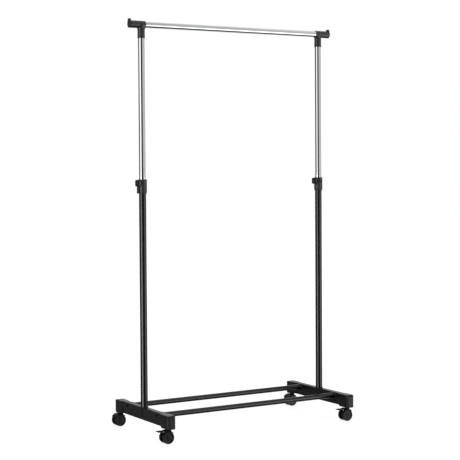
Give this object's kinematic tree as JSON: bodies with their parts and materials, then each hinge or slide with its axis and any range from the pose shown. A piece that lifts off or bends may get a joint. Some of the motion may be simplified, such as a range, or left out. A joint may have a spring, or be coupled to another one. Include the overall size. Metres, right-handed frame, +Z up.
{
  "type": "rolling clothes rack",
  "caption": "Free-standing clothes rail with telescoping chrome posts, wing clamp knobs, moulded feet joined by bottom rails, and swivelling twin-wheel casters with brake pedals.",
  "frame": {"origin": "on the floor, midway between the posts", "axes": "+Z up, X along the rail, front towards -Y"},
  "size_m": [0.8352, 0.402, 1.44],
  "materials": {
    "black_tube": "semi-gloss black powder coat",
    "chrome_tube": "polished chrome plate",
    "moulded_plastic": "fine-textured black moulded polypropylene",
    "corner_plastic": "satin black moulded plastic",
    "collar_plastic": "satin black moulded plastic",
    "knob_plastic": "glossy black moulded plastic",
    "caster_plastic": "black nylon",
    "wheel_plastic": "black nylon wheel",
    "natural_plastic": "unpigmented plastic",
    "zinc_steel": "zinc-plated steel",
    "bright_steel": "bright steel",
    "dark_screw": "blackened steel"
  },
  "bodies": {
    "root": {"front_bottom_rail": "black_tube", "back_bottom_rail": "black_tube", "rail_end_plugs": "natural_plastic", "rail_screws": "dark_screw", "left_foot": "moulded_plastic", "left_lower_post": "black_tube", "left_post_plug": "natural_plastic", "left_post_bolt": "zinc_steel", "left_height_collar": "collar_plastic", "left_clamp_nut": "zinc_steel", "right_foot": "moulded_plastic", "right_lower_post": "black_tube", "right_post_plug": "natural_plastic", "right_post_bolt": "zinc_steel", "right_height_collar": "collar_plastic", "right_clamp_nut": "zinc_steel", "front_left_caster_socket": "zinc_steel", "front_right_caster_socket": "zinc_steel", "back_left_caster_socket": "zinc_steel", "back_right_caster_socket": "zinc_steel"},
    "upper_frame": {"top_rail": "chrome_tube", "left_upper_post": "chrome_tube", "left_guide_plug": "natural_plastic", "left_top_tee": "corner_plastic", "left_end_cap": "corner_plastic", "right_upper_post": "chrome_tube", "right_guide_plug": "natural_plastic", "right_top_tee": "corner_plastic", "right_end_cap": "corner_plastic"},
    "left_pad": {"left_clamp_pad": "natural_plastic"},
    "left_knob": {"left_clamp_screw": "zinc_steel", "left_lock_knob": "knob_plastic"},
    "right_pad": {"right_clamp_pad": "natural_plastic"},
    "right_knob": {"right_clamp_screw": "zinc_steel", "right_lock_knob": "knob_plastic"},
    "front_left_caster": {"front_left_caster_stem": "bright_steel", "front_left_caster_hood": "caster_plastic", "front_left_caster_axle": "zinc_steel", "front_left_brake_pin": "zinc_steel"},
    "front_left_outer_wheel": {"front_left_outer_wheel": "wheel_plastic"},
    "front_left_inner_wheel": {"front_left_inner_wheel": "wheel_plastic"},
    "front_left_brake": {"front_left_brake_pedal": "caster_plastic"},
    "front_right_caster": {"front_right_caster_stem": "bright_steel", "front_right_caster_hood": "caster_plastic", "front_right_caster_axle": "zinc_steel", "front_right_brake_pin": "zinc_steel"},
    "front_right_outer_wheel": {"front_right_outer_wheel": "wheel_plastic"},
    "front_right_inner_wheel": {"front_right_inner_wheel": "wheel_plastic"},
    "front_right_brake": {"front_right_brake_pedal": "caster_plastic"},
    "back_left_caster": {"back_left_caster_stem": "bright_steel", "back_left_caster_hood": "caster_plastic", "back_left_caster_axle": "zinc_steel"},
    "back_left_outer_wheel": {"back_left_outer_wheel": "wheel_plastic"},
    "back_left_inner_wheel": {"back_left_inner_wheel": "wheel_plastic"},
    "back_right_caster": {"back_right_caster_stem": "bright_steel", "back_right_caster_hood": "caster_plastic", "back_right_caster_axle": "zinc_steel"},
    "back_right_outer_wheel": {"back_right_outer_wheel": "wheel_plastic"},
    "back_right_inner_wheel": {"back_right_inner_wheel": "wheel_plastic"}
  },
  "joints": [
    {"name": "height_adjust", "type": "slide", "parent": "root", "child": "upper_frame", "axis": [0, 0, 1], "range_m": [-0.485, 0.16]},
    {"name": "left_clamp_release", "type": "slide", "parent": "root", "child": "left_pad", "axis": [-0.9659, -0.2588, 0], "range_m": [0, 0.001]},
    {"name": "left_knob_turn", "type": "hinge", "parent": "left_pad", "child": "left_knob", "pos_m": [-0.37, 0, 0.8735], "axis": [-0.9659, -0.2588, 0], "range_deg": [0, 365]},
    {"name": "right_clamp_release", "type": "slide", "parent": "root", "child": "right_pad", "axis": [-0.9659, -0.2588, 0], "range_m": [0, 0.001]},
    {"name": "right_knob_turn", "type": "hinge", "parent": "right_pad", "child": "right_knob", "pos_m": [0.37, 0, 0.8735], "axis": [-0.9659, -0.2588, 0], "range_deg": [0, 365]},
    {"name": "front_left_swivel", "type": "hinge", "parent": "root", "child": "front_left_caster", "pos_m": [-0.37, -0.181, 0.05], "axis": [0, 0, 1], "continuous": true},
    {"name": "front_left_outer_spin", "type": "hinge", "parent": "front_left_caster", "child": "front_left_outer_wheel", "pos_m": [-0.38, -0.181, 0.021], "axis": [0, 1, 0], "continuous": true},
    {"name": "front_left_inner_spin", "type": "hinge", "parent": "front_left_caster", "child": "front_left_inner_wheel", "pos_m": [-0.38, -0.181, 0.021], "axis": [0, 1, 0], "continuous": true},
    {"name": "front_left_brake_press", "type": "hinge", "parent": "front_left_caster", "child": "front_left_brake", "pos_m": [-0.39552, -0.181, 0.04086], "axis": [0, -1, 0], "range_deg": [0, 22]},
    {"name": "front_right_swivel", "type": "hinge", "parent": "root", "child": "front_right_caster", "pos_m": [0.37, -0.181, 0.05], "axis": [0, 0, 1], "continuous": true},
    {"name": "front_right_outer_spin", "type": "hinge", "parent": "front_right_caster", "child": "front_right_outer_wheel", "pos_m": [0.36, -0.181, 0.021], "axis": [0, 1, 0], "continuous": true},
    {"name": "front_right_inner_spin", "type": "hinge", "parent": "front_right_caster", "child": "front_right_inner_wheel", "pos_m": [0.36, -0.181, 0.021], "axis": [0, 1, 0], "continuous": true},
    {"name": "front_right_brake_press", "type": "hinge", "parent": "front_right_caster", "child": "front_right_brake", "pos_m": [0.34448, -0.181, 0.04086], "axis": [0, -1, 0], "range_deg": [0, 22]},
    {"name": "back_left_swivel", "type": "hinge", "parent": "root", "child": "back_left_caster", "pos_m": [-0.37, 0.181, 0.05], "axis": [0, 0, 1], "continuous": true},
    {"name": "back_left_outer_spin", "type": "hinge", "parent": "back_left_caster", "child": "back_left_outer_wheel", "pos_m": [-0.38, 0.181, 0.021], "axis": [0, 1, 0], "continuous": true},
    {"name": "back_left_inner_spin", "type": "hinge", "parent": "back_left_caster", "child": "back_left_inner_wheel", "pos_m": [-0.38, 0.181, 0.021], "axis": [0, 1, 0], "continuous": true},
    {"name": "back_right_swivel", "type": "hinge", "parent": "root", "child": "back_right_caster", "pos_m": [0.37, 0.181, 0.05], "axis": [0, 0, 1], "continuous": true},
    {"name": "back_right_outer_spin", "type": "hinge", "parent": "back_right_caster", "child": "back_right_outer_wheel", "pos_m": [0.36, 0.181, 0.021], "axis": [0, 1, 0], "continuous": true},
    {"name": "back_right_inner_spin", "type": "hinge", "parent": "back_right_caster", "child": "back_right_inner_wheel", "pos_m": [0.36, 0.181, 0.021], "axis": [0, 1, 0], "continuous": true}
  ],
  "couplings": [
    {"joint": "left_knob_turn", "follows": "left_clamp_release", "rad_per_m": 6283.2},
    {"joint": "right_knob_turn", "follows": "right_clamp_release", "rad_per_m": 6283.2}
  ]
}
